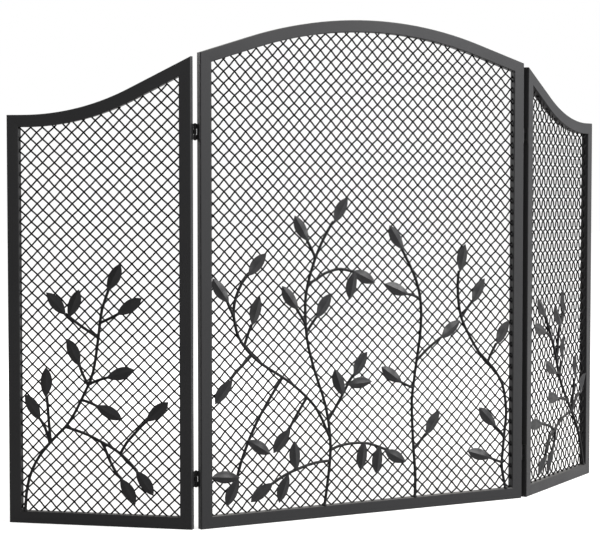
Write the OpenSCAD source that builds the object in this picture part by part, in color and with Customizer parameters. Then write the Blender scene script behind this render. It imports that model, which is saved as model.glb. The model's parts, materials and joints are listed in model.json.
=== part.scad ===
// Folding fireplace screen: three framed mesh panels joined by butt hinges, with leafy
// branches of rod and pressed leaves welded in front of the mesh.
// The origin is on the floor, under the middle of the centre panel's frame.
// +X runs along the centre panel to the right, +Y points to the fire and +Z is up.

/* [Centre panel] */
// Width over the two stiles
centre_w = 612; // [560:1:680]
// Height of the frame's top corners
centre_h = 748; // [640:1:860]
// Rise of the arched rail above those corners
arch_rise = 61; // [50:1:80]
// Slope of the straight ends of the arched rail, in degrees
arch_slope = 17.2; // [15:0.1:20]

/* [Side panels] */
// Space between the side panels' outer ends when both are folded flat behind the centre panel
fold_gap = 4; // [2:1:90]
// Height of the outer corner
side_h = 653; // [560:1:740]
// Rise from the outer corner to the hinge-side corner
side_rise = 89; // [75:1:105]
// Slope of the straight length that climbs to the hinge side, in degrees
side_slope = 25.8; // [22:0.1:30]
// Straight level length at the outer end of the top rail
side_level = 28; // [20:1:50]

/* [Frame tube] */
// Width of the tube, seen from the front
tube_face = 19.5; // [16:0.5:24]
// Depth of the tube, from front to back
tube_depth = 13.5; // [12:0.5:18]
// Wall of the tube
tube_wall = 1; // [0.8:0.1:1.5]

/* [Mesh] */
// Diameter of a mesh wire
wire_d = 2; // [1.2:0.1:2.4]
// Width of one diamond, corner to corner
diamond_w = 19.5; // [15:0.5:30]
// Height of one diamond, corner to corner
diamond_h = 18.95; // [15:0.05:30]
// Distance from the front of the frame to the middle of the mesh
mesh_setback = 6.6; // [5:0.1:8]

/* [Branches] */
// Diameter of the branch rods
rod_d = 4.2; // [3:0.1:4.8]
// Length of a leaf
leaf_l = 48; // [40:1:52]
// Width of a leaf
leaf_w = 20.5; // [14:0.5:22]
// Thickness of the leaf sheet
leaf_t = 1; // [0.8:0.1:1.5]
// Angle that each half of a leaf is pressed back from the crease, in degrees
leaf_crease = 10; // [5:1:12]
// Length of a leaf's foot that lies over its rod
leaf_lap = 2; // [1:0.5:4]

/* [Hinges] */
// Gap between neighbouring stiles when the panels are in line
hinge_gap = 6; // [6:0.1:8]
// Height of a hinge
hinge_h = 25; // [22:1:32]
// Thickness of a hinge plate
plate_t = 1.2; // [1:0.1:1.6]
// Outer diameter of the knuckles
knuckle_d = 5.2; // [4.6:0.1:5.6]
// Diameter of the hinge pin
pin_d = 3; // [2.4:0.1:3.4]
// Diameter of a rivet's shank
rivet_d = 2.8; // [2.4:0.1:3.2]
// Height of the middle of the lower hinges
lower_hinge_z = 79; // [60:1:140]
// Height of the middle of the upper hinges
upper_hinge_z = 625; // [520:1:640]

/* [Pose] */
// Angle that the left panel is folded back from in line
left_fold = 41; // [0:1:60]
// Angle that the right panel is folded back from in line
right_fold = 32; // [0:1:60]

/* [Hidden] */

// Flats that stand for one rolled bend, and facets of the round pieces
bend_steps = 24;
$fn = 48;
rod_sides = 8;
rod_steps = 2;

// Clearances: parts that seat on each other, the pin in its knuckles, one knuckle to the next
seat_gap = 0.1;
pin_play = 0.05;
knuckle_play = 0.4;
over = 5;

// Width of one side panel: two of them fit side by side behind the centre panel
side_w = (centre_w - fold_gap) / 2;

// Depths, counted from the middle of the tube
front_y = -tube_depth / 2;
mesh_y = front_y + mesh_setback;
rod_y = mesh_y - wire_d - 2 * seat_gap - rod_d / 2;
leaf_y = rod_y - rod_d / 2 - seat_gap - leaf_t / cos(leaf_crease);

// Hinge line, just behind the frames, so that the panels fold flat back to back
pin_x = centre_w / 2 + hinge_gap / 2;
pin_setback = 0.5;
pin_y = tube_depth / 2 + pin_setback;
knuckle_h = hinge_h / 3;
plate_margin = 1;
plate_edge_y = front_y + plate_margin;
plate_back_y = pin_y - knuckle_d / 2 - knuckle_play;

// Upset ends of the pins, and the rivets: two to a plate, countersunk outside and upset inside
pin_head = [1.4 * pin_d, 0.8];
rivet_y = (plate_edge_y + plate_back_y) / 2;
rivet_pitch = hinge_h * 0.56;
rivet_head = [1.7 * rivet_d, 0.8 * plate_t];
rivet_tail = [1.4 * rivet_d, 1.4];

// How the mesh lies in each panel: the place of one crossing, across and up, how far it is
// pulled wide, and its turn against the clock in degrees
centre_lie = [[-10.2, 380.3], 0.9975, 0.16];
left_lie = [[157.7, 360.6], 1.0077, 0];
right_lie = [[145.3, 360], 1.09, -0.85];

// Openings for which the branches were drawn, between tubes of this face. They widen with the panels.
drawn_face = 19.5;
drawn_centre = 573;
drawn_side = 265;

// Rods of the centre panel, as points [across from the middle, up from the bottom rail],
// each list from its root to its tip. The first rod of a list stands on the rail, and each of
// the others springs from one before it. A leaf is [foot, tip], and a third value turns it
// about its crease, in degrees, to clear a rod that runs behind one half of it.
tall_rods = [
    [[-84, -6], [-78, 34], [-74, 64], [-72, 92], [-74, 124], [-82, 166], [-95.5, 204],
        [-107, 238], [-116, 275], [-119, 312], [-118, 345], [-111, 374], [-105, 392],
        [-98, 410], [-86, 434], [-73, 455], [-67, 463]],
    [[-101, 404], [-107, 418], [-116, 433]],
    [[-112, 362], [-98, 370], [-84, 378.5], [-68, 383.5], [-54, 385.5], [-40, 383], [-26, 380]],
    [[-118, 298], [-126, 310], [-135, 323]],
    [[-117, 284], [-107, 298], [-98, 309]],
    [[-75, 140], [-65, 156], [-53, 175], [-44, 189], [-35, 204], [-29, 210]],
    [[-72, 90], [-58, 95.5], [-40, 98], [-20, 98.5], [0, 96], [18, 90], [34, 83.5]],
    [[-73, 73], [-100, 71.5], [-128, 65], [-155, 56], [-180, 43]]];
tall_leaves = [[-66, 463, -41, 502], [-116, 433, -139, 473], [-30, 381, 9, 363],
    [-29, 380, -37, 335], [-135, 323, -161, 360], [-98, 309, -71, 346], [-29, 210, -5, 246],
    [-40, 196, 5, 198, 10], [-50.5, 179, -64, 219, -10], [31, 82, 71, 61], [19, 90, 15, 45],
    [-10, 98, -15, 52], [-181, 44, -218, 17], [-137, 63.5, -139, 108], [-152, 55, -167, 12]];
bough_rods = [
    [[-73, 109], [-77, 118], [-81, 127], [-85.5, 137], [-91, 147], [-101, 163], [-117, 180],
        [-143, 202], [-172, 221], [-201, 239], [-223, 259], [-239, 281], [-246, 304],
        [-248, 324], [-244, 345], [-233, 368], [-222, 380]],
    [[-248, 313], [-253, 325], [-259, 338]],
    [[-228, 268], [-223, 285], [-216, 301]],
    [[-217, 251], [-233, 236], [-245, 225], [-254, 215]],
    [[-161, 213], [-179, 188], [-199, 158], [-215, 129.5], [-227, 103], [-236, 80], [-242, 59]],
    [[-116, 179], [-134, 153], [-151, 126]]];
bough_leaves = [[-222, 380, -191, 413], [-259, 338, -285, 376], [-216, 301, -202, 344],
    [-253, 214, -281, 178], [-241, 58, -285, 62], [-242, 55, -261, 14],
    [-222, 115.5, -185, 93], [-149, 129, -178, 92]];
middle_rods = [
    [[90, -6], [91, 36], [88, 71], [85, 115], [83.5, 162], [87, 192], [93, 231], [99, 268],
        [101.5, 304], [99, 336], [91, 364], [78, 390], [63, 416]],
    [[99, 331], [87, 338], [73, 341]],
    [[93, 229], [112, 246], [126, 256], [141, 266]],
    [[87, 184], [76, 188], [61, 195]],
    [[89, 82], [100, 93], [111, 105]]];
middle_leaves = [[63, 416, 39, 455], [73, 341, 31, 359], [141, 266, 177, 292],
    [61, 195, 24, 222], [111, 105, 138, 142]];
right_rods = [
    [[275, -6], [268.5, 22], [265.5, 42], [268, 70], [271, 100], [274, 124], [273.5, 141],
        [271, 160], [265, 182], [247, 209], [218, 237], [197.5, 267], [182, 296],
        [175.5, 325], [174, 356], [176, 377]],
    [[182, 298], [192, 312], [203, 324]],
    [[237, 222], [244, 237], [253, 251]],
    [[269, 90], [261, 100], [250, 110]],
    [[266, 46], [256, 49], [246, 53], [239, 56]]];
right_leaves = [[177, 377, 188, 421], [203, 324, 228, 363], [253, 251, 278, 289],
    [250, 110, 219, 142], [239, 56, 196, 70]];

// Rods of the side panels, as points [out from the hinge side, up from the bottom rail]
left_vine_rods = [
    [[278, -6], [276, 26], [270, 55], [259, 80], [244, 101], [223, 124], [206, 141], [190, 166],
        [177, 192], [166, 215], [160, 237], [156, 262], [152, 292], [147, 326], [136, 357]],
    [[149, 304], [136, 311], [120, 319]],
    [[155, 281], [179, 297], [196, 309], [208, 318]],
    [[175, 207], [181, 225], [185, 237]],
    [[171, 206], [155, 213], [138, 218]],
    [[234, 112], [237, 146], [240, 186]],
    [[235, 110], [243, 134], [252, 149]],
    [[182, 181], [170, 178], [156, 172]],
    [[208, 136], [190, 132], [170, 125], [149, 115], [126, 103], [106, 87], [90, 70]],
    [[118, 97], [107, 115.5], [93, 131], [82, 143], [73, 151]],
    [[150, 114], [143, 104], [135, 85], [124, 65.5], [116, 57]]];
left_vine_leaves = [[136, 357, 116, 399], [120, 319, 82, 344], [201, 314, 185, 356],
    [208, 318, 239, 351], [185, 237, 205, 278], [138, 218, 95, 231], [241, 186, 241, 233],
    [252, 149, 277, 189], [156, 172, 115, 152], [73, 151, 40, 180], [90, 70, 63, 32],
    [116, 57, 95, 20]];
right_vine_rods = [
    [[278, -6], [268, 24], [256, 54], [240, 79], [218, 104], [190, 133], [166, 160], [150, 184],
        [138, 211], [125, 235], [110, 256], [94, 278], [83, 290]],
    [[117, 243], [103, 255], [89, 260], [81, 262]],
    [[140, 205], [144, 228], [152, 264], [160, 275], [168, 288]],
    [[153, 176], [159, 192], [163, 204]],
    [[150, 183], [141, 184], [129, 185]],
    [[216, 106], [220, 127], [225, 149], [228, 166]],
    [[217, 105], [233, 125], [252, 137]],
    [[197, 126], [184, 132], [159, 136], [144, 138]],
    [[212, 107], [190, 103.5], [170, 99], [155, 93], [139, 86], [127, 80], [114, 74], [103, 63],
        [93, 50], [92, 41]],
    [[132, 83], [109, 92], [92, 96], [75, 99], [67, 100]],
    [[138, 84], [134, 65.5], [128, 54], [122, 48]]];
right_vine_leaves = [[83, 290, 50, 322], [81, 262, 36, 275], [155, 268, 131, 299, -4],
    [168, 288, 170, 332], [163, 204, 174, 246], [129, 185, 89, 207], [228, 166, 235, 208],
    [252, 137, 282, 169], [144, 138, 99, 144], [67, 100, 22, 104], [92, 41, 59, 11],
    [122, 48, 103, 7]];

// Radius of a bend that climbs rise over run: a level start, the bend, then a straight slope
function bend_radius(run, rise, slope) = (run * sin(slope) - rise * cos(slope)) / (1 - cos(slope));
arch_r = bend_radius(centre_w / 2, arch_rise, arch_slope);
side_r = bend_radius(side_w - side_level, side_rise, side_slope);

// Upper edge of the arched rail, drawn in by inset, from x = reach to x = -reach
function arch_edge(inset, reach) =
    let (r = arch_r - inset, crown = centre_h + arch_rise - arch_r,
        fall = crown + r * cos(arch_slope) - (reach - r * sin(arch_slope)) * tan(arch_slope))
    concat([[reach, fall]],
        [for (i = [0 : bend_steps]) let (t = arch_slope * (1 - 2 * i / bend_steps))
            [r * sin(t), crown + r * cos(t)]],
        [[-reach, fall]]);

// Upper edge of a side panel's rail, drawn in by inset, from x = outer to x = inner
function side_edge(inset, outer, inner) =
    let (r = side_r + inset, bend_x = side_w - side_level, bend_z = side_h + side_r)
    concat([[outer, side_h - inset]],
        [for (i = [0 : bend_steps]) let (t = side_slope * i / bend_steps)
            [bend_x - r * sin(t), bend_z - r * cos(t)]],
        [[inner, bend_z - r * cos(side_slope)
            + (bend_x - r * sin(side_slope) - inner) * tan(side_slope)]]);

function reversed(list) = [for (i = [len(list) - 1 : -1 : 0]) list[i]];
function last(list) = list[len(list) - 1];
function unit(v) = v / norm(v);
function centre_edge(inset) = arch_edge(inset, centre_w / 2 - inset);
function panel_edge(inset) = side_edge(inset, side_w - inset, inset);

// Point on a smooth curve through a list of points, at a whole or part number of its spans
function at(list, i) = list[max(0, min(len(list) - 1, i))];
function smooth(list, i, t) =
    let (a = at(list, i - 1), b = at(list, i), c = at(list, i + 1), d = at(list, i + 2))
    b + t * (c - a) / 2 + t * t * (a - 2.5 * b + 2 * c - d / 2)
        + t * t * t * (1.5 * (b - c) + (d - a) / 2);
function smooth_path(list) = concat(
    [for (i = [0 : len(list) - 2], k = [0 : rod_steps - 1]) smooth(list, i, k / rod_steps)],
    [last(list)]);

// Rods with their roots brought onto the nearest of the rods that carry them
function foot_on(p, a, b) = a + (b - a) * max(0, min(1, (p - a) * (b - a) / ((b - a) * (b - a))));
function nearest(p, paths) =
    let (feet = [for (path = paths, i = [1 : len(path) - 1]) foot_on(p, path[i - 1], path[i])],
        gaps = [for (foot = feet) norm(p - foot)])
    feet[search(min(gaps), gaps)[0]];
function rooted(line, carriers) = concat([nearest(line[0], [for (c = carriers) smooth_path(c)])],
    [for (i = [1 : len(line) - 1]) line[i]]);
function branched(rods) = [for (i = [0 : len(rods) - 1])
    i == 0 ? rods[0] : rooted(rods[i], [for (k = [0 : i - 1]) rods[k]])];

// Sets a flat outline, drawn in x and z, upright and as deep as asked about y
module upright(depth, y = 0) {
    translate([0, y, 0]) rotate([90, 0, 0]) linear_extrude(depth, center = true) children();
}

// One length of frame tube: an outline less its bore, which runs out through both mitres
module tube(outline, bore) {
    difference() {
        upright(tube_depth) polygon(outline);
        upright(tube_depth - 2 * tube_wall) polygon(bore);
    }
}

// Stile between its bottom and top mitres, with edge = [outer top corner, inner top corner]
module stile(outer_x, inner_x, edge) {
    way = sign(inner_x - outer_x);
    tube([[outer_x, 0], edge[0], edge[1], [inner_x, tube_face]],
        [[outer_x + way * tube_wall, -over], [outer_x + way * tube_wall, edge[0][1] + over],
            [inner_x - way * tube_wall, edge[0][1] + over], [inner_x - way * tube_wall, -over]]);
}

module bottom_rail(left_x, right_x) {
    tube([[left_x, 0], [right_x, 0], [right_x - tube_face, tube_face], [left_x + tube_face, tube_face]],
        [[left_x - over, tube_wall], [right_x + over, tube_wall],
            [right_x + over, tube_face - tube_wall], [left_x - over, tube_face - tube_wall]]);
}

// One set of parallel wires of a mesh, cut to the opening that edge closes at the top.
// lean is 1 for wires that rise towards +x and -1 for those that fall.
module wires(left_x, right_x, edge, lie, lean) {
    crossing = lie[0];
    pitch = diamond_w * lie[1];
    top_z = max([for (p = edge) p[1]]);
    run = pitch / diamond_h;
    below = (crossing[1] - tube_face) * run;
    above = (top_z - crossing[1]) * run;
    low = left_x - crossing[0] - (lean > 0 ? above : below);
    high = right_x - crossing[0] + (lean > 0 ? below : above);
    long = 2 * (right_x - left_x + top_z);
    intersection() {
        upright(tube_depth) polygon(concat([[left_x, tube_face], [right_x, tube_face]], edge));
        translate([crossing[0], mesh_y - lean * (wire_d + seat_gap) / 2, crossing[1]])
            rotate([0, -lie[2], 0])
                for (i = [ceil(low / pitch) - 1 : floor(high / pitch) + 1])
                    translate([i * pitch, 0, 0]) rotate([0, lean * atan(run), 0])
                        cylinder(d = wire_d, h = long, center = true);
    }
}

// Round rod swept along its points, which lie in one upright plane, and mitred at each bend
module rod(points, grow = 0) {
    path = smooth_path(points);
    r = rod_d / 2 + grow;
    n = len(path);
    rings = [for (i = [0 : n - 1])
        let (before = max(i, 1), after = min(i, n - 2),
            way = unit(path[before] - path[before - 1]) + unit(path[after + 1] - path[after]),
            side = [way[1], -way[0]] * 2 / (way * way))
        for (k = [0 : rod_sides - 1])
            let (a = 360 * (k + 0.5) / rod_sides, out = r * cos(a) * side)
            [path[i][0] + out[0], rod_y + r * sin(a), path[i][1] + out[1]]];
    sides = [for (i = [0 : n - 2], k = [0 : rod_sides - 1])
        let (m = (k + 1) % rod_sides, a = i * rod_sides)
        [a + k, a + rod_sides + k, a + rod_sides + m, a + m]];
    ends = [[for (k = [0 : rod_sides - 1]) k],
        [for (k = [rod_sides - 1 : -1 : 0]) (n - 1) * rod_sides + k]];
    polyhedron(rings, concat(sides, ends), convexity = 10);
}

// Rods welded into one branch that stands on the bottom rail
module branch(rods) {
    difference() {
        for (line = branched(rods)) rod(line);
        translate([-centre_w, -tube_depth, 0]) cube([2 * centre_w, 2 * tube_depth, tube_face]);
    }
}

// Pressed leaf from its foot at the origin up to its tip, with the crease to the front
module leaf() {
    half = leaf_w / 2;
    r = (half * half + leaf_l * leaf_l / 4) / leaf_w;
    back = leaf_t / cos(leaf_crease);
    drop = half * tan(leaf_crease);
    intersection() {
        linear_extrude(leaf_l) polygon([[0, 0], [half, drop], [half, drop + back], [0, back],
            [-half, drop + back], [-half, drop]]);
        upright(leaf_w) intersection() {
            translate([half - r, leaf_l / 2]) circle(r, $fn = 180);
            translate([r - half, leaf_l / 2]) circle(r, $fn = 180);
        }
    }
}

// Leaves, each from its foot on a rod towards its tip, and turned about its crease
module leaves(spots) {
    for (s = spots)
        translate([s[0], leaf_y, s[1]]) rotate([0, atan2(s[2] - s[0], s[3] - s[1]), 0])
            rotate([0, 0, s[4]]) translate([0, 0, -leaf_lap]) leaf();
}

// Branch drawings brought to the real opening: widened with it, and up from the bottom rail
function in_centre(p) = [p[0] * (centre_w - 2 * tube_face) / drawn_centre, p[1] + tube_face];
function in_side(p) =
    [tube_face + (p[0] - drawn_face) * (side_w - 2 * tube_face) / drawn_side, p[1] + tube_face];
function centre_rods(rods) = [for (line = rods) [for (p = line) in_centre(p)]];
function side_rods(rods) = [for (line = rods) [for (p = line) in_side(p)]];
function turn_of(s) = len(s) > 4 ? s[4] : 0;
function centre_leaves(list) = [for (s = list)
    concat(in_centre([s[0], s[1]]), in_centre([s[2], s[3]]), turn_of(s))];
function side_leaves(list) = [for (s = list)
    concat(in_side([s[0], s[1]]), in_side([s[2], s[3]]), turn_of(s))];

// Places a side panel, drawn outwards from its hinge side, at its hinge and its fold
module side_panel(side) {
    translate([side * pin_x, pin_y, 0]) rotate([0, 0, side > 0 ? right_fold : -left_fold])
        mirror([side > 0 ? 0 : 1, 0, 0]) translate([hinge_gap / 2, -pin_y, 0]) children();
}

// Places a hinge piece, drawn about its pin for the right side, on the centre panel
module on_centre(side, z) {
    mirror([side > 0 ? 0 : 1, 0, 0]) translate([pin_x, 0, z]) children();
}

// Turns a hinge piece round to the side panel's stile
module at_hinge(z) {
    translate([-hinge_gap / 2, 0, z]) mirror([1, 0, 0]) children();
}

// Rivet along x, with its countersunk head at x = 0 and its shank towards -x
module rivet(play = 0) {
    grip = plate_t + tube_wall + seat_gap;
    for (z = [-1, 1] * rivet_pitch / 2)
        translate([0, rivet_y, z]) rotate([0, -90, 0]) {
            cylinder(d1 = rivet_head[0] + 2 * play, d2 = rivet_d + 2 * play, h = rivet_head[1]);
            cylinder(d = rivet_d + 2 * play, h = grip);
            if (play == 0) translate([0, 0, grip])
                cylinder(d1 = rivet_tail[0], d2 = rivet_d, h = rivet_tail[1]);
        }
}

// Butt hinge plate on a stile face at x = -hinge_gap / 2, with its knuckles about the pin.
// spans lists the bottom and top of each knuckle.
module hinge_plate(spans) {
    face = -hinge_gap / 2;
    difference() {
        union() {
            translate([face, plate_edge_y, -hinge_h / 2])
                cube([plate_t, plate_back_y - plate_edge_y, hinge_h]);
            for (s = spans) {
                translate([face, plate_back_y, s[0]]) cube([plate_t, pin_y - plate_back_y, s[1] - s[0]]);
                translate([0, pin_y, s[0]]) cylinder(d = knuckle_d, h = s[1] - s[0]);
            }
        }
        translate([0, pin_y, -hinge_h]) cylinder(d = pin_d + 2 * pin_play, h = 2 * hinge_h);
        translate([face + plate_t, 0, 0]) rivet(pin_play);
    }
}

outer_knuckles = [[-hinge_h / 2, -(knuckle_h + knuckle_play) / 2],
    [(knuckle_h + knuckle_play) / 2, hinge_h / 2]];
middle_knuckle = [[-(knuckle_h - knuckle_play) / 2, (knuckle_h - knuckle_play) / 2]];

module fixed_plate(side, z) {
    color("#161617") on_centre(side, z) hinge_plate(outer_knuckles);
}

module swing_plate(side, z) {
    color("#161617") side_panel(side) at_hinge(z) hinge_plate(middle_knuckle);
}

module hinge_pin(side, z) {
    color("#1e1e1f") on_centre(side, z) translate([0, pin_y, 0]) {
        cylinder(d = pin_d, h = hinge_h + 2 * seat_gap + pin_head[1], center = true);
        for (end = [-1, 1])
            translate([0, 0, end * (hinge_h / 2 + seat_gap + pin_head[1] / 2)])
                cylinder(d = pin_head[0], h = pin_head[1], center = true);
    }
}

// Rivets of both hinges on one stile, seated in the plates
module stile_rivets(play = 0) {
    for (z = [lower_hinge_z, upper_hinge_z])
        translate([-hinge_gap / 2 + plate_t, 0, z]) rivet(play);
}

module centre_rivets(side) {
    color("#1e1e1f") on_centre(side, 0) stile_rivets();
}

module side_rivets(side) {
    color("#1e1e1f") side_panel(side) at_hinge(0) stile_rivets();
}

module centre_stile(side) {
    edge = [centre_edge(0)[0], centre_edge(tube_face)[0]];
    color("#3a3a3b") mirror([side > 0 ? 0 : 1, 0, 0]) difference() {
        stile(centre_w / 2, centre_w / 2 - tube_face, edge);
        translate([pin_x, 0, 0]) stile_rivets(pin_play);
    }
}

module centre_bottom_rail() {
    color("#3a3a3b") bottom_rail(-centre_w / 2, centre_w / 2);
}

module centre_arched_rail() {
    reach = centre_w / 2 + over;
    color("#3f3f40") tube(concat(centre_edge(0), reversed(centre_edge(tube_face))),
        concat(arch_edge(tube_wall, reach), reversed(arch_edge(tube_face - tube_wall, reach))));
}

module centre_wires(lean) {
    half = centre_w / 2 - tube_face;
    color("#2c2c2d") wires(-half, half, centre_edge(tube_face), centre_lie, lean);
}

module inner_stile(side) {
    edge = [last(panel_edge(0)), last(panel_edge(tube_face))];
    color("#343435") side_panel(side) difference() {
        stile(0, tube_face, edge);
        at_hinge(0) stile_rivets(pin_play);
    }
}

module outer_stile(side) {
    edge = [panel_edge(0)[0], panel_edge(tube_face)[0]];
    color("#343435") side_panel(side) stile(side_w, side_w - tube_face, edge);
}

module side_bottom_rail(side) {
    color("#343435") side_panel(side) bottom_rail(0, side_w);
}

module side_top_rail(side) {
    color("#343435") side_panel(side)
        tube(concat(panel_edge(0), reversed(panel_edge(tube_face))),
            concat(side_edge(tube_wall, side_w + over, -over),
                reversed(side_edge(tube_face - tube_wall, side_w + over, -over))));
}

module side_wires(side, lean) {
    color("#2c2c2d") side_panel(side)
        wires(tube_face, side_w - tube_face, panel_edge(tube_face), side > 0 ? right_lie : left_lie, lean);
}

// The bough's first rod springs from the tall stem, and is coped to fit against it
module bough() {
    trunk = centre_rods(tall_rods)[0];
    rods = centre_rods(bough_rods);
    difference() {
        branch(concat([rooted(rods[0], [trunk])], [for (i = [1 : len(rods) - 1]) rods[i]]));
        rod(trunk, seat_gap);
    }
}

module centre_branch(rods) {
    color("#2a2a2b") branch(centre_rods(rods));
}

module centre_foliage(list) {
    color("#353537") leaves(centre_leaves(list));
}

module vine(side, rods) {
    color("#2a2a2b") side_panel(side) branch(side_rods(rods));
}

module vine_foliage(side, list) {
    color("#353537") side_panel(side) leaves(side_leaves(list));
}

centre_stile(-1);  // centre_left_stile
centre_stile(1);  // centre_right_stile
centre_bottom_rail();
centre_arched_rail();
centre_wires(1);  // centre_mesh_rising_wires
centre_wires(-1);  // centre_mesh_falling_wires
centre_branch(tall_rods);  // tall_stem
centre_foliage(tall_leaves);  // tall_stem_leaves
color("#2a2a2b") bough();  // left_bough
centre_foliage(bough_leaves);  // left_bough_leaves
centre_branch(middle_rods);  // middle_stem
centre_foliage(middle_leaves);  // middle_stem_leaves
centre_branch(right_rods);  // right_stem
centre_foliage(right_leaves);  // right_stem_leaves
fixed_plate(-1, upper_hinge_z);  // left_upper_hinge_fixed_plate
hinge_pin(-1, upper_hinge_z);  // left_upper_hinge_pin
fixed_plate(-1, lower_hinge_z);  // left_lower_hinge_fixed_plate
hinge_pin(-1, lower_hinge_z);  // left_lower_hinge_pin
fixed_plate(1, upper_hinge_z);  // right_upper_hinge_fixed_plate
hinge_pin(1, upper_hinge_z);  // right_upper_hinge_pin
fixed_plate(1, lower_hinge_z);  // right_lower_hinge_fixed_plate
hinge_pin(1, lower_hinge_z);  // right_lower_hinge_pin
centre_rivets(-1);  // centre_left_rivets
centre_rivets(1);  // centre_right_rivets
inner_stile(-1);  // left_panel_inner_stile
outer_stile(-1);  // left_panel_outer_stile
side_bottom_rail(-1);  // left_panel_bottom_rail
side_top_rail(-1);  // left_panel_top_rail
side_wires(-1, 1);  // left_mesh_rising_wires
side_wires(-1, -1);  // left_mesh_falling_wires
vine(-1, left_vine_rods);  // left_vine
vine_foliage(-1, left_vine_leaves);
swing_plate(-1, upper_hinge_z);  // left_upper_hinge_swing_plate
swing_plate(-1, lower_hinge_z);  // left_lower_hinge_swing_plate
side_rivets(-1);  // left_panel_rivets
inner_stile(1);  // right_panel_inner_stile
outer_stile(1);  // right_panel_outer_stile
side_bottom_rail(1);  // right_panel_bottom_rail
side_top_rail(1);  // right_panel_top_rail
side_wires(1, 1);  // right_mesh_rising_wires
side_wires(1, -1);  // right_mesh_falling_wires
vine(1, right_vine_rods);  // right_vine
vine_foliage(1, right_vine_leaves);
swing_plate(1, upper_hinge_z);  // right_upper_hinge_swing_plate
swing_plate(1, lower_hinge_z);  // right_lower_hinge_swing_plate
side_rivets(1);  // right_panel_rivets
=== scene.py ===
"""Looks of the folding fireplace screen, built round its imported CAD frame.

Everything is in metres, with the origin on the floor under the middle of the centre panel.
"""
import json
import math

import bmesh
import bpy
import numpy as np
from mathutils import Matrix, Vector
from mathutils.kdtree import KDTree

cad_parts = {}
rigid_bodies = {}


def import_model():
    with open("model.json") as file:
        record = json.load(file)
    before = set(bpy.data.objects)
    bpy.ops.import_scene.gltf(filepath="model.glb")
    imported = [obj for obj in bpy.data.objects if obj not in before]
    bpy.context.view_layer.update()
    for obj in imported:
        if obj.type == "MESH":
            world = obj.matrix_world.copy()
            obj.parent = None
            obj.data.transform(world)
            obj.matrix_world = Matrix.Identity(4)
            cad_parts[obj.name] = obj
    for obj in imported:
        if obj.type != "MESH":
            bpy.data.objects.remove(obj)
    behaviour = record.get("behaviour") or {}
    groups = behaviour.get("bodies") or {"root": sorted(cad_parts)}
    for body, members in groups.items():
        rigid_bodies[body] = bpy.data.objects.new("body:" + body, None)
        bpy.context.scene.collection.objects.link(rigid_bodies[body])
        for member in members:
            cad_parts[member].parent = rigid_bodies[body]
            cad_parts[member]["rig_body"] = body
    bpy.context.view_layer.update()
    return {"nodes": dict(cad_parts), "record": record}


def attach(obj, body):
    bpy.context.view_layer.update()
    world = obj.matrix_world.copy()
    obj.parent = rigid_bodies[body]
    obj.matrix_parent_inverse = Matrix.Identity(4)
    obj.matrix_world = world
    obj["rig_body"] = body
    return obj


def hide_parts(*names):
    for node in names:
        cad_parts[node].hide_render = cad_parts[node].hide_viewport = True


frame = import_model()
nodes = frame["nodes"]
scene = bpy.context.scene


# Camera: a long lens in front of the screen and to its left, level with the upper mesh and turned
# a little down, so that the right panel is seen at a low angle.
SENSOR_MM, LENS_MM = 36, 113.06
CAMERA_PLACE = (-1.57319, -2.66414, 0.55711)
TURNED_DOWN, TURNED_RIGHT = math.radians(3.059), math.radians(28.507)
camera_data = bpy.data.cameras.new("camera")
camera_data.sensor_width, camera_data.lens = SENSOR_MM, LENS_MM
camera = bpy.data.objects.new("camera", camera_data)
scene.collection.objects.link(camera)
camera.location = CAMERA_PLACE
camera.rotation_euler = (math.radians(90) - TURNED_DOWN, 0, -TURNED_RIGHT)
scene.camera = camera
scene.view_settings.view_transform = "Standard"


# Studio: a white room with a white floor, which keeps the screen's own soft shadow. A softbox high
# on the right gives the tubes and the upper halves of the leaves their sheen, a small one on the
# left opens the folded panel, and one behind lights the back.
ROOM_LEVEL = 0.12
FLOOR_HALF = 12
SHADOW_FROM, SHADOW_TO = 0.8, 1.7  # from the middle of the floor
SHADOW_GLOW = 0.7
WHITE = (1, 1, 1, 1)


def add(tree, kind, operation=None, **inputs):
    """Adds a node, with its inputs set to plain values or linked from (node, output) pairs."""
    node = tree.nodes.new(kind)
    if operation:
        node.operation = operation
    for name, value in inputs.items():
        socket = node.inputs[int(name[1:]) if name[1:].isdigit() else name.replace("_", " ")]
        if isinstance(value, tuple) and isinstance(value[0], bpy.types.Node):
            tree.links.new(value[0].outputs[value[1]], socket)
        else:
            socket.default_value = value
    return node


def srgb(code):
    """Linear colour of a hex code such as 4a4a4c."""
    parts = [int(code[i:i + 2], 16) / 255 for i in (0, 2, 4)]
    return tuple(c / 12.92 if c < 0.04045 else ((c + 0.055) / 1.055) ** 2.4 for c in parts) + (1,)


def empty_tree(owner):
    owner.use_nodes = True
    owner.node_tree.nodes.clear()
    return owner.node_tree


def seen_directly(tree):
    """1 for camera, glossy and transmission rays, 0 for the light that falls on the screen."""
    path = add(tree, "ShaderNodeLightPath")
    seen = (path, "Is Camera Ray")
    for ray in ("Is Glossy Ray", "Is Transmission Ray"):
        seen = (add(tree, "ShaderNodeMath", "MAXIMUM", _0=seen, _1=(path, ray)), 0)
    return seen


def make_world():
    """Room that shows as white and lights the screen at ROOM_LEVEL."""
    world = bpy.data.worlds.new("white_room")
    tree = empty_tree(world)
    shown = add(tree, "ShaderNodeBackground", Color=WHITE, Strength=1.0)
    light = add(tree, "ShaderNodeBackground", Color=WHITE, Strength=ROOM_LEVEL)
    mix = add(tree, "ShaderNodeMixShader", _0=seen_directly(tree), _1=(light, 0), _2=(shown, 0))
    add(tree, "ShaderNodeOutputWorld", Surface=(mix, 0))
    scene.world = world


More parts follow.
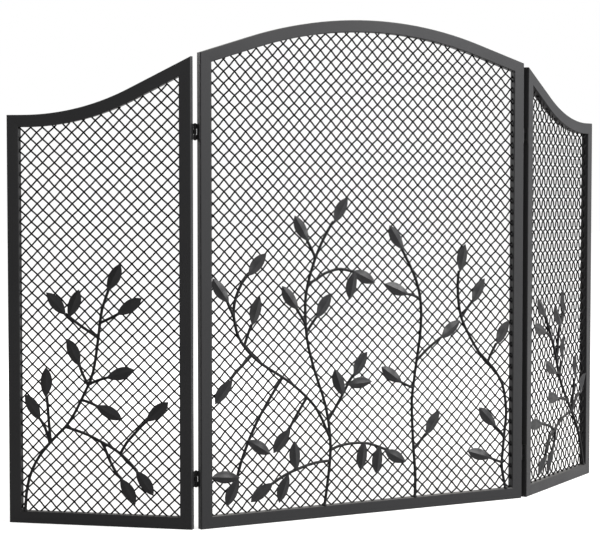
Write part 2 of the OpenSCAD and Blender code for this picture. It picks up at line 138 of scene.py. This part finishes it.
def make_floor():
    """White floor that shows shadow near the screen and fades into the room further out."""
    mesh = bpy.data.meshes.new("floor")
    signs = [(-1, -1), (1, -1), (1, 1), (-1, 1)]
    corners = [(x * FLOOR_HALF, y * FLOOR_HALF, 0) for x, y in signs]
    mesh.from_pydata(corners, [], [(0, 1, 2, 3)])
    floor = bpy.data.objects.new("floor", mesh)
    scene.collection.objects.link(floor)
    material = bpy.data.materials.new("white_studio_floor")
    tree = empty_tree(material)
    place = add(tree, "ShaderNodeTexCoord")
    reach = add(tree, "ShaderNodeVectorMath", "LENGTH", _0=(place, "Object"))
    glow_level = add(tree, "ShaderNodeMapRange", Value=(reach, "Value"), From_Min=SHADOW_FROM,
                     From_Max=SHADOW_TO, To_Min=SHADOW_GLOW, To_Max=1.0)
    paint = add(tree, "ShaderNodeBsdfDiffuse", Color=srgb("8c8a88"))
    shade = add(tree, "ShaderNodeBsdfDiffuse", Color=srgb("b4b2b0"))
    glow = add(tree, "ShaderNodeEmission", Color=WHITE, Strength=(glow_level, 0))
    shown = add(tree, "ShaderNodeAddShader", _0=(shade, 0), _1=(glow, 0))
    mix = add(tree, "ShaderNodeMixShader", _0=seen_directly(tree), _1=(paint, 0), _2=(shown, 0))
    add(tree, "ShaderNodeOutputMaterial", Surface=(mix, 0))
    mesh.materials.append(material)


def softbox(name, place, target, size, power):
    """Square lamp of a size in metres and a power in watts, aimed at a target."""
    data = bpy.data.lights.new(name, "AREA")
    data.size, data.energy = size, power
    lamp = bpy.data.objects.new(name, data)
    lamp.location = place
    lamp.rotation_euler = (Vector(target) - Vector(place)).to_track_quat("-Z", "Y").to_euler()
    scene.collection.objects.link(lamp)


make_world()
make_floor()
softbox("right_softbox", place=(1.85, -2.05, 2.1), target=(0, 0, 0.5), size=1.4, power=260)
softbox("left_softbox", place=(-2.3, -1.6, 1.0), target=(0, 0, 0.4), size=1.2, power=8)
softbox("back_softbox", place=(-1.2, 2.7, 2.0), target=(0, 0, 0.5), size=1.8, power=90)


# Frames: rolled and straight lengths of mild steel tube, mitred, welded and ground flush, then
# powder coated a matte black. The tube's long corners are rounded as drawn tube is, but not its
# mitred ends, so that each frame reads as one ring.
TUBE_CORNER = 0.0013
JOIN_WITHIN = 2e-6  # split corners of a CAD mesh
DRIFT_MM, GLOSS_DRIFT = 110, 0.06
GRAIN_MM, GRAIN_LIGHTER = 0.7, 1.35
PEEL_DEPTH = 0.0004
# light grey that faces looking up are mixed towards, in patches, so they show lighter
UPWARD_FACE_GREY = "b8b4ae"
slot_of = {part["node"]: part["material_slot"] for part in frame["record"]["subparts"]}
body_of = {name: obj["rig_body"] for name, obj in nodes.items()}


def powder_coat(name, colour, roughness, gloss, peel_mm, upward_lightening):
    """Matte black polyester powder coat, sprayed on steel and baked. The eye sees a fine orange
    peel of peel_mm, a grain of fused powder and gloss that drifts along the piece. Faces that
    look up are mixed, in patches, towards a light grey by up to the fifth argument, so they show
    lighter. Real powder is about 0.05 mm, so its grain is drawn coarser, at GRAIN_MM, to
    show. A matte coat scatters what a clear one mirrors, so gloss is below its usual 0.5."""
    material = bpy.data.materials.new(name)
    tree = empty_tree(material)
    place = add(tree, "ShaderNodeTexCoord")
    drift = add(tree, "ShaderNodeTexNoise", Vector=(place, "Object"), Scale=1000 / DRIFT_MM,
                Detail=4.0)
    powder = add(tree, "ShaderNodeTexNoise", Vector=(place, "Object"), Scale=1000 / GRAIN_MM,
                 Detail=2.0)
    peel = add(tree, "ShaderNodeTexNoise", Vector=(place, "Object"), Scale=1000 / peel_mm,
               Detail=2.0)
    surface = add(tree, "ShaderNodeNewGeometry")
    facing = add(tree, "ShaderNodeSeparateXYZ", Vector=(surface, "Normal"))
    # faces that look up are made lighter towards a light grey, in patches of the drift noise
    faces_up = add(tree, "ShaderNodeMapRange", Value=(facing, "Z"), From_Min=0.3, From_Max=1.0,
                  To_Max=upward_lightening)
    patchy_faces_up = add(tree, "ShaderNodeMath", "MULTIPLY", _0=(faces_up, 0), _1=(drift, 0))
    dark = srgb(colour)
    light = tuple(GRAIN_LIGHTER * c for c in dark[:3]) + (1,)
    paint = add(tree, "ShaderNodeMixRGB", Fac=(powder, 0), Color1=dark, Color2=light)
    lighter_faces_up = add(tree, "ShaderNodeMixRGB", Fac=(patchy_faces_up, 0), Color1=(paint, 0),
                 Color2=srgb(UPWARD_FACE_GREY))
    rough = add(tree, "ShaderNodeMapRange", Value=(drift, 0), From_Min=0.3, From_Max=0.7,
                To_Min=roughness - GLOSS_DRIFT, To_Max=roughness + GLOSS_DRIFT)
    bump = add(tree, "ShaderNodeBump", Strength=0.35, Distance=PEEL_DEPTH, Height=(peel, 0))
    coat = add(tree, "ShaderNodeBsdfPrincipled", Base_Color=(lighter_faces_up, 0), Roughness=(rough, 0),
               Normal=(bump, 0), Specular_IOR_Level=gloss)
    add(tree, "ShaderNodeOutputMaterial", Surface=(coat, 0))
    return material


def make_piece(name, mesh, node, finish):
    """Visible piece in the given finish, which rides with the body of a CAD node."""
    piece = bpy.data.objects.new(name, mesh)
    scene.collection.objects.link(piece)
    mesh.materials.clear()
    mesh.materials.append(finish)
    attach(piece, body_of[node])
    return piece


def joined_copy(node):
    """Copy of a CAD mesh with its split corners joined and its flat faces whole."""
    work = bmesh.new()
    work.from_mesh(nodes[node].data)
    bmesh.ops.remove_doubles(work, verts=work.verts, dist=JOIN_WITHIN)
    bmesh.ops.dissolve_limit(work, angle_limit=math.radians(0.4), verts=work.verts,
                             edges=work.edges)
    work.normal_update()
    return work


def to_mesh(work, name):
    mesh = bpy.data.meshes.new(name)
    work.to_mesh(mesh)
    work.free()
    mesh.polygons.foreach_set("use_smooth", [True] * len(mesh.polygons))
    return mesh


bottom_rails = {body_of[name]: name for name in nodes if name.endswith("bottom_rail")}


def panel_axes(body):
    """Unit vectors along a panel, away from the centre, and towards its back."""
    flat = np.array([vert.co.xy for vert in nodes[bottom_rails[body]].data.vertices])
    along = np.linalg.svd(flat - flat.mean(0))[2][0]
    if along @ flat.mean(0) < 0 or (body == "centre_panel" and along[0] < 0):
        along = -along
    back = np.array([-along[1], along[0]])
    if back[1] < 0:
        back = -back
    return np.array([*along, 0]), np.array([*back, 0])


def round_tube(node, along):
    """Length of tube with its long outer corners rounded, and its mitres left sharp."""
    work = joined_copy(node)
    corners = []
    for edge in work.edges:
        faces = edge.link_faces
        if len(faces) != 2 or any(abs(face.normal.dot(along)) > 0.5 for face in faces):
            continue
        if edge.calc_face_angle_signed(0) > math.radians(60):
            corners.append(edge)
    bmesh.ops.bevel(work, geom=corners, offset=TUBE_CORNER, segments=4, profile=0.5,
                    affect="EDGES")
    piece = make_piece("tube_" + node, to_mesh(work, node), node, tube_coat)
    piece.data.set_sharp_from_angle(angle=math.radians(40))
    piece.modifiers.new("flat_faces", "WEIGHTED_NORMAL").keep_sharp = True
    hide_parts(node)


tube_coat = powder_coat("powder_coated_steel_tube", "262627", 0.5, 0.13, 1.4, 0.25)
for node in nodes:
    if slot_of[node] == "frame_tube":
        along = (0, 0, 1) if node.endswith("stile") else panel_axes(body_of[node])[0]
        round_tube(node, Vector(along))


# Hinges: blanked and rolled steel plates, steel pins with upset ends and countersunk rivets. They
# were coated with the frames, and their edges are barely eased.
EASED_EDGE = 0.00025
hardware_coats = {
    "hinge_plates": powder_coat("powder_coated_hinge_plate", "1c1c1d", 0.5, 0.2, 0.8, 0.1),
    "pins_and_rivets": powder_coat("powder_coated_pins_and_rivets", "202021", 0.4, 0.3, 0.7, 0.1),
}


def ease_edges(piece, width, sharpest):
    """Rounds off by width the edges at which a piece turns by more than sharpest degrees."""
    edge = piece.modifiers.new("eased_edges", "BEVEL")
    edge.width, edge.segments, edge.limit_method = width, 2, "ANGLE"
    edge.angle_limit = math.radians(sharpest)


for node in nodes:
    if slot_of[node] in hardware_coats:
        piece = make_piece("eased_" + node, to_mesh(joined_copy(node), node), node,
                           hardware_coats[slot_of[node]])
        ease_edges(piece, EASED_EDGE, 40)
        piece.modifiers.new("flat_faces", "WEIGHTED_NORMAL").keep_sharp = True
        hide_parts(node)


# Mesh: steel wires woven into diamonds, each passing over and under its neighbours in turn, and
# welded into the frames. The powder builds up on so thin a wire, and has almost no gloss. Two of
# the meshes are pulled and hang a little, as the welding left them.
WIRE_RADIUS = 0.00128  # over its coat
WIRE_REACH = 0.0026  # past each end, into the tube
WIRE_STEP = 0.0033  # four to a side of a diamond
WIRE_SIDES = 8
OFF_LINE = np.array([0.31, 0.95, 0.05])  # no rod or wire follows it
wire_coat = powder_coat("powder_coated_woven_wire", "101011", 0.6, 0.02, 0.7, 0.1)


def solids_of(node):
    """Vertex positions of each separate solid of a node."""
    work = joined_copy(node)
    found, seen = [], set()
    for start in work.verts:
        if start in seen:
            continue
        group, queue = [], [start]
        seen.add(start)
        while queue:
            vert = queue.pop()
            group.append(vert.co.copy())
            for edge in vert.link_edges:
                other = edge.other_vert(vert)
                if other not in seen:
                    seen.add(other)
                    queue.append(other)
        found.append(np.array(group))
    work.free()
    return found


def own_axes(points):
    """Directions along, across and through a solid, the longest spread first."""
    return np.linalg.svd(points - points.mean(0), full_matrices=False)[2]


def wire_lines(node):
    """Ends of the centre line of each wire of a mesh."""
    lines = []
    for points in solids_of(node):
        reach = (points - points.mean(0)) @ own_axes(points)[0]
        middle = (reach.max() + reach.min()) / 2
        lines.append((points[reach < middle].mean(0), points[reach > middle].mean(0)))
    return lines


def sweep(paths, radii, sides):
    """Vertices and faces of round rods swept along paths, with capped ends."""
    verts, faces, start = [], [], 0
    turn = np.arange(sides) * 2 * math.pi / sides
    for path, radius in zip(paths, radii):
        way = np.gradient(path, axis=0)
        way /= np.linalg.norm(way, axis=1)[:, None]
        first = np.cross(way, OFF_LINE)
        first /= np.linalg.norm(first, axis=1)[:, None]
        second = np.cross(way, first)
        ring = (first[:, None] * np.cos(turn)[None, :, None]
                + second[:, None] * np.sin(turn)[None, :, None])
        verts.append((path[:, None] + ring * np.reshape(radius, (-1, 1, 1))).reshape(-1, 3))
        count = len(path)
        base = start + np.arange(count - 1)[:, None] * sides
        here = base + np.arange(sides)[None]
        after = base + (np.arange(sides)[None] + 1) % sides
        quads = np.stack([here, after, after + sides, here + sides], 2)
        faces += quads.reshape(-1, 4).tolist()
        faces += [list(range(start + sides - 1, start - 1, -1))]
        faces += [list(range(start + (count - 1) * sides, start + count * sides))]
        start += count * sides
    return np.concatenate(verts), faces


def smooth_mesh(name, verts, faces):
    mesh = bpy.data.meshes.new(name)
    mesh.from_pydata(verts.tolist(), [], faces)
    mesh.polygons.foreach_set("use_smooth", [True] * len(mesh.polygons))
    return mesh


def count_off(lines, flat):
    """Function that numbers places across one set of parallel wires, whole on the wires."""
    ends = np.array([[flat(low), flat(high)] for low, high in lines])
    longest = ends[np.linalg.norm(ends[:, 1] - ends[:, 0], axis=1).argmax()]
    way = longest[1] - longest[0]
    normal = np.array([-way[1], way[0]]) / np.linalg.norm(way)
    offsets = np.sort(ends.mean(1) @ normal)
    spacing = np.median(np.diff(offsets))
    return lambda points: (points @ normal - offsets[0]) / spacing


def weave(body, bow, sag):
    """Weaves a mesh, pulled sideways by bow at its sides and down by sag at its top and bottom."""
    along, back = panel_axes(body)
    names = {lean: f"{body.split('_')[0]}_mesh_{lean}_wires" for lean in ("rising", "falling")}
    sets = {lean: wire_lines(node) for lean, node in names.items()}
    ends = np.array([end for lines in sets.values() for line in lines for end in line])
    depth = (ends @ back).mean()

    def flat(points):
        return np.stack([points @ along, points[..., 2]], -1)

    low_corner, high_corner = flat(ends).min(0), flat(ends).max(0)
    middle, half = (high_corner + low_corner) / 2, (high_corner - low_corner) / 2
    for lean, other, side in (("rising", "falling", 1), ("falling", "rising", -1)):
        own_number, cross_number = count_off(sets[lean], flat), count_off(sets[other], flat)
        paths, radii = [], []
        for low, high in sets[lean]:
            length = np.linalg.norm(high - low)
            reach = (high - low) / length * WIRE_REACH
            steps = max(4, int(length / WIRE_STEP))
            points = low - reach + (high - low + 2 * reach) * np.linspace(0, 1, steps)[:, None]
            place = flat(points)
            index = np.round(own_number(place).mean())
            swing = side * np.cos(math.pi * (cross_number(place) + index)) * WIRE_RADIUS
            pull = ((place - middle) / half) ** 2
            offset = depth - points @ back - swing
            points = points + offset[:, None] * back + bow * pull[:, :1] * along
            points[:, 2] -= sag * pull[:, 1]
            paths.append(points)
            radii.append(np.full(steps, WIRE_RADIUS))
        verts, faces = sweep(paths, radii, WIRE_SIDES)
        node = names[lean]
        piece = make_piece("woven_" + node, smooth_mesh(node, verts, faces), node, wire_coat)
        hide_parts(node)


weave("centre_panel", bow=0.0013, sag=0.0018)
weave("left_panel", bow=-0.0004, sag=0.0027)
weave("right_panel", bow=0, sag=0)


# Branches: round steel rod, bent by hand and welded rod to rod and to the bottom rails. The welds
# fill the forks, and a collar of weld stands round each foot. The bough grows from the tall stem,
# so the two are one piece.
ROD_VOXEL = 0.0007
COLLAR_REACH = 0.006  # across one foot
COLLAR_SIDES = 12
COLLAR_HEIGHTS = np.array([0, 0.0012, 0.0024, 0.004])
COLLAR_RADII = np.array([0.0036, 0.0032, 0.0026, 0.0018])
COAT_SWELL = 0.00045  # coat, and what the easing takes off
rod_coat = powder_coat("powder_coated_bent_rod", "19191a", 0.5, 0.08, 0.8, 0.15)


def weld_collars(points):
    """Paths and radii of a weld collar round each foot of a branch on its bottom rail."""
    feet = points[points[:, 2] < points[:, 2].min() + 0.0002]
    paths = []
    while len(feet):
        near = np.linalg.norm(feet - feet[0], axis=1) < COLLAR_REACH
        paths.append(feet[near].mean(0) + COLLAR_HEIGHTS[:, None] * np.array([0, 0, 1]))
        feet = feet[~near]
    return paths, [COLLAR_RADII] * len(paths)


def weld_rods(names):
    """Rods and collars run together by a fine remesh, eased, and swollen by the coat."""
    work = bmesh.new()
    for node in names:
        work.from_mesh(nodes[node].data)
    bmesh.ops.remove_doubles(work, verts=work.verts, dist=JOIN_WITHIN)
    paths, radii = weld_collars(np.array([vert.co for vert in work.verts]))
    work.from_mesh(smooth_mesh("collars", *sweep(paths, radii, COLLAR_SIDES)))
    piece = make_piece("welded_" + names[0], to_mesh(work, names[0]), names[0], rod_coat)
    weld = piece.modifiers.new("weld", "REMESH")
    weld.mode, weld.voxel_size, weld.use_smooth_shade = "VOXEL", ROD_VOXEL, True
    ease = piece.modifiers.new("ease", "SMOOTH")
    ease.factor, ease.iterations = 0.5, 6
    swell = piece.modifiers.new("swell", "DISPLACE")
    swell.strength, swell.mid_level = COAT_SWELL, 0
    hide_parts(*names)


weld_rods(["tall_stem", "left_bough"])
for node in ("middle_stem", "right_stem", "left_vine", "right_vine"):
    weld_rods([node])


# Leaves: blanked from steel sheet and pressed, with a sharp crease to the front, two halves that
# fall back from it and a slight curl towards the tip. The press bites less at the foot, which is
# welded flat on its rod. The coat has more sheen here, so the two halves catch the light unevenly.
LEAF_THICKNESS = 0.001
LEAF_EDGE = 0.0003
FOOT_FOLD, LEAF_FOLD = 10, 24  # degrees back from the crease
FOOT_NARROWING = 0.2
LEAST_HALF_WIDTH = 0.0006
LEAF_CURL, TIP_CURL = 0.0004, 0.0014
LEAF_CUP = 0.0006
LEAF_ROWS, LEAF_COLUMNS = 29, 13
PAIR_SPREAD = 1.4  # two leaves joined at the foot are wider than one by more than this
ON_CREASE = 1e-4  # from the end or the front of a leaf
leaf_coat = powder_coat("powder_coated_pressed_sheet", "222223", 0.4, 0.13, 1.1, 0.2)


def eased(low, high, x):
    """0 up to low, 1 from high on, and a smooth rise between them."""
    t = min(1, max(0, (x - low) / (high - low)))
    return t * t * (3 - 2 * t)


def leaf_grid(length, width, count):
    """Front face of leaf number count: across in x, back in y and from foot to tip in z."""
    radius = (width ** 2 + length ** 2) / (4 * width)
    curl = LEAF_CURL * (1 + math.sin(2.3 * count))
    grid = []
    for s in np.linspace(0, 1, LEAF_ROWS).tolist():
        lens = math.sqrt(radius ** 2 - ((s - 0.5) * length) ** 2) - radius + width / 2
        half = max(lens * (1 - FOOT_NARROWING * (1 - s) ** 3), LEAST_HALF_WIDTH)
        fold = math.tan(math.radians(FOOT_FOLD + (LEAF_FOLD - FOOT_FOLD) * eased(0.12, 0.45, s)))
        tip = TIP_CURL * eased(0.55, 1, s) + curl * eased(0.3, 1, s)
        for t in np.linspace(-1, 1, LEAF_COLUMNS).tolist():
            cup = LEAF_CUP * eased(0.4, 1, abs(t)) * eased(0.25, 0.5, s) * math.sin(math.pi * s)
            grid.append((t * half, tip + fold * half * abs(t) - cup, s * length))
    return np.array(grid)


def single_leaf(points, back, rods):
    """Foot, tip and back of a leaf, with the foot at the end that lies nearer to a rod."""
    lengthwise, _, normal = own_axes(points)
    normal = normal * np.sign(normal @ back)
    reach = points @ lengthwise
    ends = [min(points[abs(reach - far) < ON_CREASE], key=lambda point: point @ normal)
            for far in (reach.min(), reach.max())]
    return (*sorted(ends, key=lambda end: rods.find(Vector(end))[2]), normal)


def paired_leaves(points, back, length):
    """The same for two leaves joined at the foot: the tips are the creases' furthest ends."""
    creases = points[points @ back < (points @ back).min() + ON_CREASE]
    gaps = np.linalg.norm(creases[:, None] - creases[None], axis=2)
    tips = np.unravel_index(gaps.argmax(), gaps.shape)
    for tip in tips:
        others = [k for k in range(len(creases)) if k not in tips]
        foot = min(others, key=lambda k: abs(gaps[tip, k] - length))
        way = (creases[foot] - creases[tip]) / gaps[tip, foot]
        yield creases[tip] + length * way, creases[tip], back


def foliage(node, branch):
    """All the leaves of a branch, each formed anew where its plain solid lies."""
    back = panel_axes(body_of[node])[1]
    rods = KDTree(len(nodes[branch].data.vertices))
    for i, vert in enumerate(nodes[branch].data.vertices):
        rods.insert(vert.co, i)
    rods.balance()
    solids = solids_of(node)
    spreads = [np.ptp(points @ own_axes(points).T, axis=0) for points in solids]
    length, width, _ = min(spreads, key=lambda spread: spread[1])
    leaves = []
    for points, spread in zip(solids, spreads):
        if spread[1] > PAIR_SPREAD * width:
            leaves += paired_leaves(points, back, length)
        else:
            leaves.append(single_leaf(points, back, rods))
    verts, faces = [], []
    for count, (foot, tip, normal) in enumerate(leaves):
        way = (tip - foot) / length
        across = np.stack([np.cross(way, normal), normal, way])
        verts.append(foot + leaf_grid(length, width, count) @ across)
        for i in range(LEAF_ROWS - 1):
            for j in range(LEAF_COLUMNS - 1):
                a = (count * LEAF_ROWS + i) * LEAF_COLUMNS + j
                faces.append([a, a + LEAF_COLUMNS, a + LEAF_COLUMNS + 1, a + 1])
    mesh = smooth_mesh(node, np.concatenate(verts), faces)
    piece = make_piece("pressed_" + node, mesh, node, leaf_coat)
    piece.data.set_sharp_from_angle(angle=math.radians(25))
    sheet = piece.modifiers.new("sheet", "SOLIDIFY")
    sheet.thickness, sheet.offset = LEAF_THICKNESS, -1
    ease_edges(piece, LEAF_EDGE, 60)
    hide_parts(node)


for node in nodes:
    if slot_of[node] == "leaves":
        foliage(node, node.replace("_leaves", ""))
